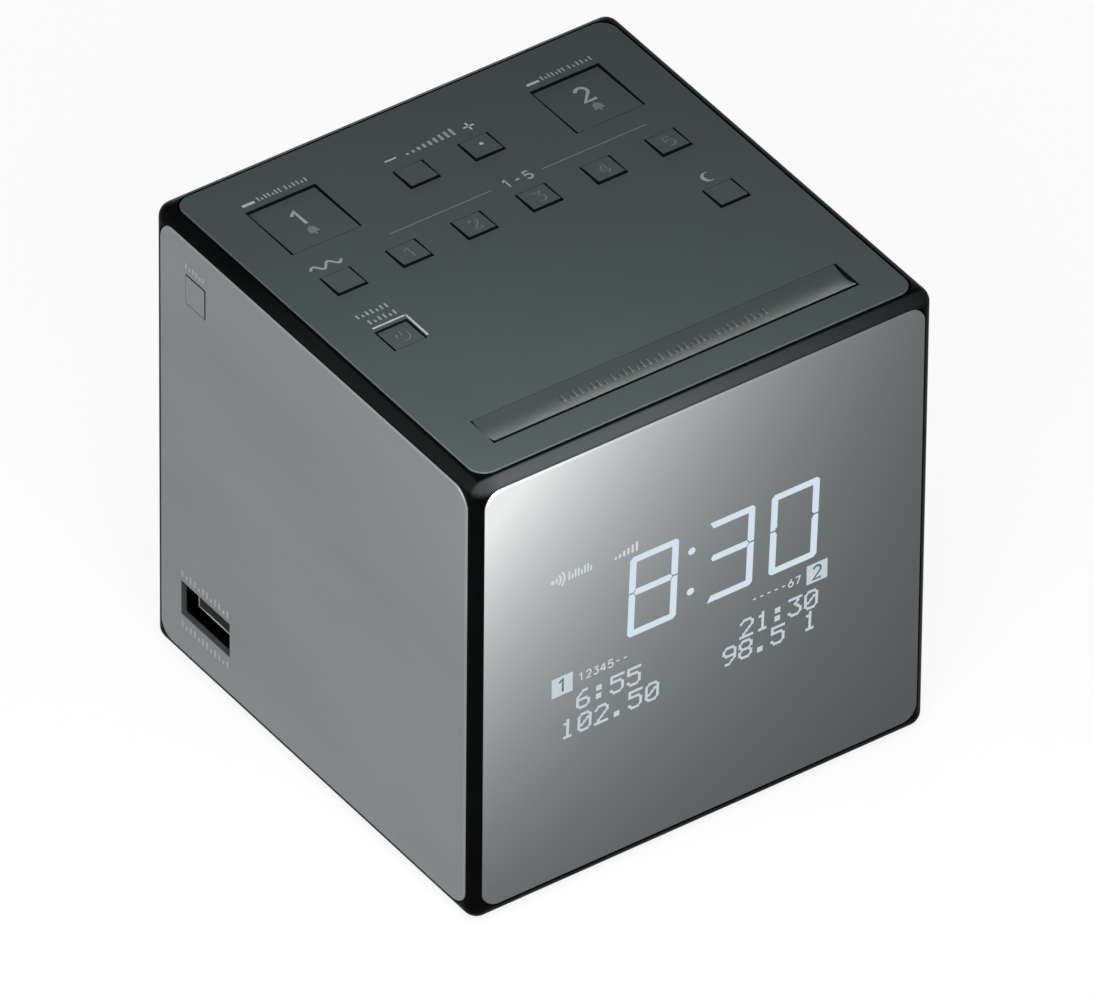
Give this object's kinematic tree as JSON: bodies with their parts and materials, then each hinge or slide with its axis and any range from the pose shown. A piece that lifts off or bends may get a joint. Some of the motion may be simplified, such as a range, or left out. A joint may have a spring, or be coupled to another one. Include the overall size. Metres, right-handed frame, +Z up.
{
  "type": "cube alarm clock radio",
  "caption": "Cube alarm clock radio with a mirrored lit display, press keys and a snooze bar on top, a USB socket in its side and a rear loudspeaker.",
  "frame": {"origin": "middle of the foot plane under the case", "axes": "+Z up; the display faces -Y, the side with the USB socket faces -X, the loudspeaker faces +Y"},
  "size_m": [0.101, 0.1014, 0.1016],
  "materials": {
    "black_shell": "satin black",
    "dark_panel": "fine matt, dark grey",
    "grey_panel": "satin grey",
    "window": "half mirrored",
    "display_glass": "polished",
    "clear_plastic": "clear",
    "white_plastic": "matt",
    "circuit_board": "lacquered",
    "switch_plastic": "matt",
    "chip_plastic": "matt",
    "cable_plastic": "satin",
    "rubber": "matt",
    "steel": "plated",
    "speaker_steel": "black",
    "magnet": "ground",
    "can_aluminium": "bright",
    "brass": "plated",
    "copper": "enamelled wire",
    "cone_paper": "pressed paper"
  },
  "bodies": {
    "case": {"body_shell": "black_shell", "front_window": "window", "top_panel": "dark_panel", "left_panel": "grey_panel", "right_panel": "grey_panel", "rear_cover": "black_shell", "base_cover": "black_shell", "rubber_feet": "rubber", "screws": "steel", "lcd_holder": "white_plastic", "lcd_glass": "display_glass", "light_guide": "clear_plastic", "display_board": "circuit_board", "key_board": "circuit_board", "switch_housings": "switch_plastic", "main_board": "circuit_board", "tuner_can": "steel", "board_chips": "chip_plastic", "capacitors": "can_aluminium", "usb_shell": "steel", "usb_tongue": "switch_plastic", "dc_jack": "chip_plastic", "antenna_gland": "rubber", "speaker_frame": "speaker_steel", "speaker_magnet": "magnet", "speaker_suspension": "rubber", "battery_contacts": "brass", "ribbon_cables": "cable_plastic"},
    "alarm_key_1_body": {"alarm_key_1": "dark_panel"},
    "alarm_key_1_stem_body": {"alarm_key_1_stem": "chip_plastic"},
    "alarm_key_2_body": {"alarm_key_2": "dark_panel"},
    "alarm_key_2_stem_body": {"alarm_key_2_stem": "chip_plastic"},
    "volume_down_key_body": {"volume_down_key": "dark_panel"},
    "volume_down_key_stem_body": {"volume_down_key_stem": "chip_plastic"},
    "volume_up_key_body": {"volume_up_key": "dark_panel"},
    "volume_up_key_stem_body": {"volume_up_key_stem": "chip_plastic"},
    "band_key_body": {"band_key": "dark_panel"},
    "band_key_stem_body": {"band_key_stem": "chip_plastic"},
    "preset_key_1_body": {"preset_key_1": "dark_panel"},
    "preset_key_1_stem_body": {"preset_key_1_stem": "chip_plastic"},
    "preset_key_2_body": {"preset_key_2": "dark_panel"},
    "preset_key_2_stem_body": {"preset_key_2_stem": "chip_plastic"},
    "preset_key_3_body": {"preset_key_3": "dark_panel"},
    "preset_key_3_stem_body": {"preset_key_3_stem": "chip_plastic"},
    "preset_key_4_body": {"preset_key_4": "dark_panel"},
    "preset_key_4_stem_body": {"preset_key_4_stem": "chip_plastic"},
    "preset_key_5_body": {"preset_key_5": "dark_panel"},
    "preset_key_5_stem_body": {"preset_key_5_stem": "chip_plastic"},
    "sleep_key_body": {"sleep_key": "dark_panel"},
    "sleep_key_stem_body": {"sleep_key_stem": "chip_plastic"},
    "alarm_reset_key_body": {"alarm_reset_key": "dark_panel"},
    "alarm_reset_key_stem_body": {"alarm_reset_key_stem": "chip_plastic"},
    "snooze_bar_body": {"snooze_bar": "dark_panel"},
    "snooze_bar_stem_body": {"snooze_bar_stem": "chip_plastic"},
    "side_key_body": {"side_key": "grey_panel"},
    "side_key_stem_body": {"side_key_stem": "chip_plastic"},
    "battery_drawer": {"battery_tray": "black_shell", "coin_cell": "steel"},
    "speaker_cone_body": {"speaker_cone": "cone_paper", "voice_coil": "copper"}
  },
  "joints": [
    {"name": "alarm_key_1_press", "type": "hinge", "parent": "case", "child": "alarm_key_1_body", "pos_m": [-0.03116, 0.023, 0.1013], "axis": [-1, 0, 0], "range_deg": [0, 1.59], "stiffness_Nm_per_rad": 0.519},
    {"name": "alarm_key_1_stem_slide", "type": "slide", "parent": "case", "child": "alarm_key_1_stem_body", "axis": [0, 0, -1], "range_m": [0, 0.00025]},
    {"name": "alarm_key_2_press", "type": "hinge", "parent": "case", "child": "alarm_key_2_body", "pos_m": [0.03116, 0.023, 0.1013], "axis": [-1, 0, 0], "range_deg": [0, 1.59], "stiffness_Nm_per_rad": 0.519},
    {"name": "alarm_key_2_stem_slide", "type": "slide", "parent": "case", "child": "alarm_key_2_stem_body", "axis": [0, 0, -1], "range_m": [0, 0.00025]},
    {"name": "volume_down_key_press", "type": "hinge", "parent": "case", "child": "volume_down_key_body", "pos_m": [-0.00696, 0.0327, 0.1013], "axis": [1, 0, 0], "range_deg": [0, 3.58], "stiffness_Nm_per_rad": 0.102},
    {"name": "volume_down_key_stem_slide", "type": "slide", "parent": "case", "child": "volume_down_key_stem_body", "axis": [0, 0, -1], "range_m": [0, 0.00025]},
    {"name": "volume_up_key_press", "type": "hinge", "parent": "case", "child": "volume_up_key_body", "pos_m": [0.00726, 0.0327, 0.1013], "axis": [1, 0, 0], "range_deg": [0, 3.58], "stiffness_Nm_per_rad": 0.102},
    {"name": "volume_up_key_stem_slide", "type": "slide", "parent": "case", "child": "volume_up_key_stem_body", "axis": [0, 0, -1], "range_m": [0, 0.00025]},
    {"name": "band_key_press", "type": "hinge", "parent": "case", "child": "band_key_body", "pos_m": [-0.0354, 0.01465, 0.1013], "axis": [1, 0, 0], "range_deg": [0, 3.58], "stiffness_Nm_per_rad": 0.102},
    {"name": "band_key_stem_slide", "type": "slide", "parent": "case", "child": "band_key_stem_body", "axis": [0, 0, -1], "range_m": [0, 0.00025]},
    {"name": "preset_key_1_press", "type": "hinge", "parent": "case", "child": "preset_key_1_body", "pos_m": [-0.02118, 0.01465, 0.1013], "axis": [1, 0, 0], "range_deg": [0, 3.58], "stiffness_Nm_per_rad": 0.102},
    {"name": "preset_key_1_stem_slide", "type": "slide", "parent": "case", "child": "preset_key_1_stem_body", "axis": [0, 0, -1], "range_m": [0, 0.00025]},
    {"name": "preset_key_2_press", "type": "hinge", "parent": "case", "child": "preset_key_2_body", "pos_m": [-0.00696, 0.01465, 0.1013], "axis": [1, 0, 0], "range_deg": [0, 3.58], "stiffness_Nm_per_rad": 0.102},
    {"name": "preset_key_2_stem_slide", "type": "slide", "parent": "case", "child": "preset_key_2_stem_body", "axis": [0, 0, -1], "range_m": [0, 0.00025]},
    {"name": "preset_key_3_press", "type": "hinge", "parent": "case", "child": "preset_key_3_body", "pos_m": [0.00726, 0.01465, 0.1013], "axis": [1, 0, 0], "range_deg": [0, 3.58], "stiffness_Nm_per_rad": 0.102},
    {"name": "preset_key_3_stem_slide", "type": "slide", "parent": "case", "child": "preset_key_3_stem_body", "axis": [0, 0, -1], "range_m": [0, 0.00025]},
    {"name": "preset_key_4_press", "type": "hinge", "parent": "case", "child": "preset_key_4_body", "pos_m": [0.02148, 0.01465, 0.1013], "axis": [1, 0, 0], "range_deg": [0, 3.58], "stiffness_Nm_per_rad": 0.102},
    {"name": "preset_key_4_stem_slide", "type": "slide", "parent": "case", "child": "preset_key_4_stem_body", "axis": [0, 0, -1], "range_m": [0, 0.00025]},
    {"name": "preset_key_5_press", "type": "hinge", "parent": "case", "child": "preset_key_5_body", "pos_m": [0.0357, 0.01465, 0.1013], "axis": [1, 0, 0], "range_deg": [0, 3.58], "stiffness_Nm_per_rad": 0.102},
    {"name": "preset_key_5_stem_slide", "type": "slide", "parent": "case", "child": "preset_key_5_stem_body", "axis": [0, 0, -1], "range_m": [0, 0.00025]},
    {"name": "sleep_key_press", "type": "hinge", "parent": "case", "child": "sleep_key_body", "pos_m": [0.0357, -0.0034, 0.1013], "axis": [1, 0, 0], "range_deg": [0, 3.58], "stiffness_Nm_per_rad": 0.102},
    {"name": "sleep_key_stem_slide", "type": "slide", "parent": "case", "child": "sleep_key_stem_body", "axis": [0, 0, -1], "range_m": [0, 0.00025]},
    {"name": "alarm_reset_key_press", "type": "hinge", "parent": "case", "child": "alarm_reset_key_body", "pos_m": [-0.0359, -0.0101, 0.1013], "axis": [-1, 0, 0], "range_deg": [0, 3.58], "stiffness_Nm_per_rad": 0.102},
    {"name": "alarm_reset_key_stem_slide", "type": "slide", "parent": "case", "child": "alarm_reset_key_stem_body", "axis": [0, 0, -1], "range_m": [0, 0.00025]},
    {"name": "snooze_bar_press", "type": "hinge", "parent": "case", "child": "snooze_bar_body", "pos_m": [0, -0.0341, 0.1013], "axis": [1, 0, 0], "range_deg": [0, 3.18], "stiffness_Nm_per_rad": 0.162},
    {"name": "snooze_bar_stem_slide", "type": "slide", "parent": "case", "child": "snooze_bar_stem_body", "axis": [0, 0, -1], "range_m": [0, 0.00025]},
    {"name": "side_key_press", "type": "hinge", "parent": "case", "child": "side_key_body", "pos_m": [-0.05045, 0.0398, 0.088], "axis": [0, 0, 1], "range_deg": [0, 3.58], "stiffness_Nm_per_rad": 0.102},
    {"name": "side_key_stem_slide", "type": "slide", "parent": "case", "child": "side_key_stem_body", "axis": [1, 0, 0], "range_m": [0, 0.00025]},
    {"name": "battery_drawer_slide", "type": "slide", "parent": "case", "child": "battery_drawer", "axis": [0, 1, 0], "range_m": [0, 0.025]},
    {"name": "speaker_cone_stroke", "type": "slide", "parent": "case", "child": "speaker_cone_body", "axis": [0, 1, 0], "range_m": [-0.001, 0.001], "stiffness_N_per_m": 900, "deforming": ["speaker_suspension"]}
  ],
  "couplings": [
    {"joint": "alarm_key_1_stem_slide", "follows": "alarm_key_1_press", "m_per_rad": 0.009},
    {"joint": "alarm_key_2_stem_slide", "follows": "alarm_key_2_press", "m_per_rad": 0.009},
    {"joint": "volume_down_key_stem_slide", "follows": "volume_down_key_press", "m_per_rad": 0.004},
    {"joint": "volume_up_key_stem_slide", "follows": "volume_up_key_press", "m_per_rad": 0.004},
    {"joint": "band_key_stem_slide", "follows": "band_key_press", "m_per_rad": 0.004},
    {"joint": "preset_key_1_stem_slide", "follows": "preset_key_1_press", "m_per_rad": 0.004},
    {"joint": "preset_key_2_stem_slide", "follows": "preset_key_2_press", "m_per_rad": 0.004},
    {"joint": "preset_key_3_stem_slide", "follows": "preset_key_3_press", "m_per_rad": 0.004},
    {"joint": "preset_key_4_stem_slide", "follows": "preset_key_4_press", "m_per_rad": 0.004},
    {"joint": "preset_key_5_stem_slide", "follows": "preset_key_5_press", "m_per_rad": 0.004},
    {"joint": "sleep_key_stem_slide", "follows": "sleep_key_press", "m_per_rad": 0.004},
    {"joint": "alarm_reset_key_stem_slide", "follows": "alarm_reset_key_press", "m_per_rad": 0.004},
    {"joint": "snooze_bar_stem_slide", "follows": "snooze_bar_press", "m_per_rad": 0.0045},
    {"joint": "side_key_stem_slide", "follows": "side_key_press", "m_per_rad": 0.004}
  ]
}
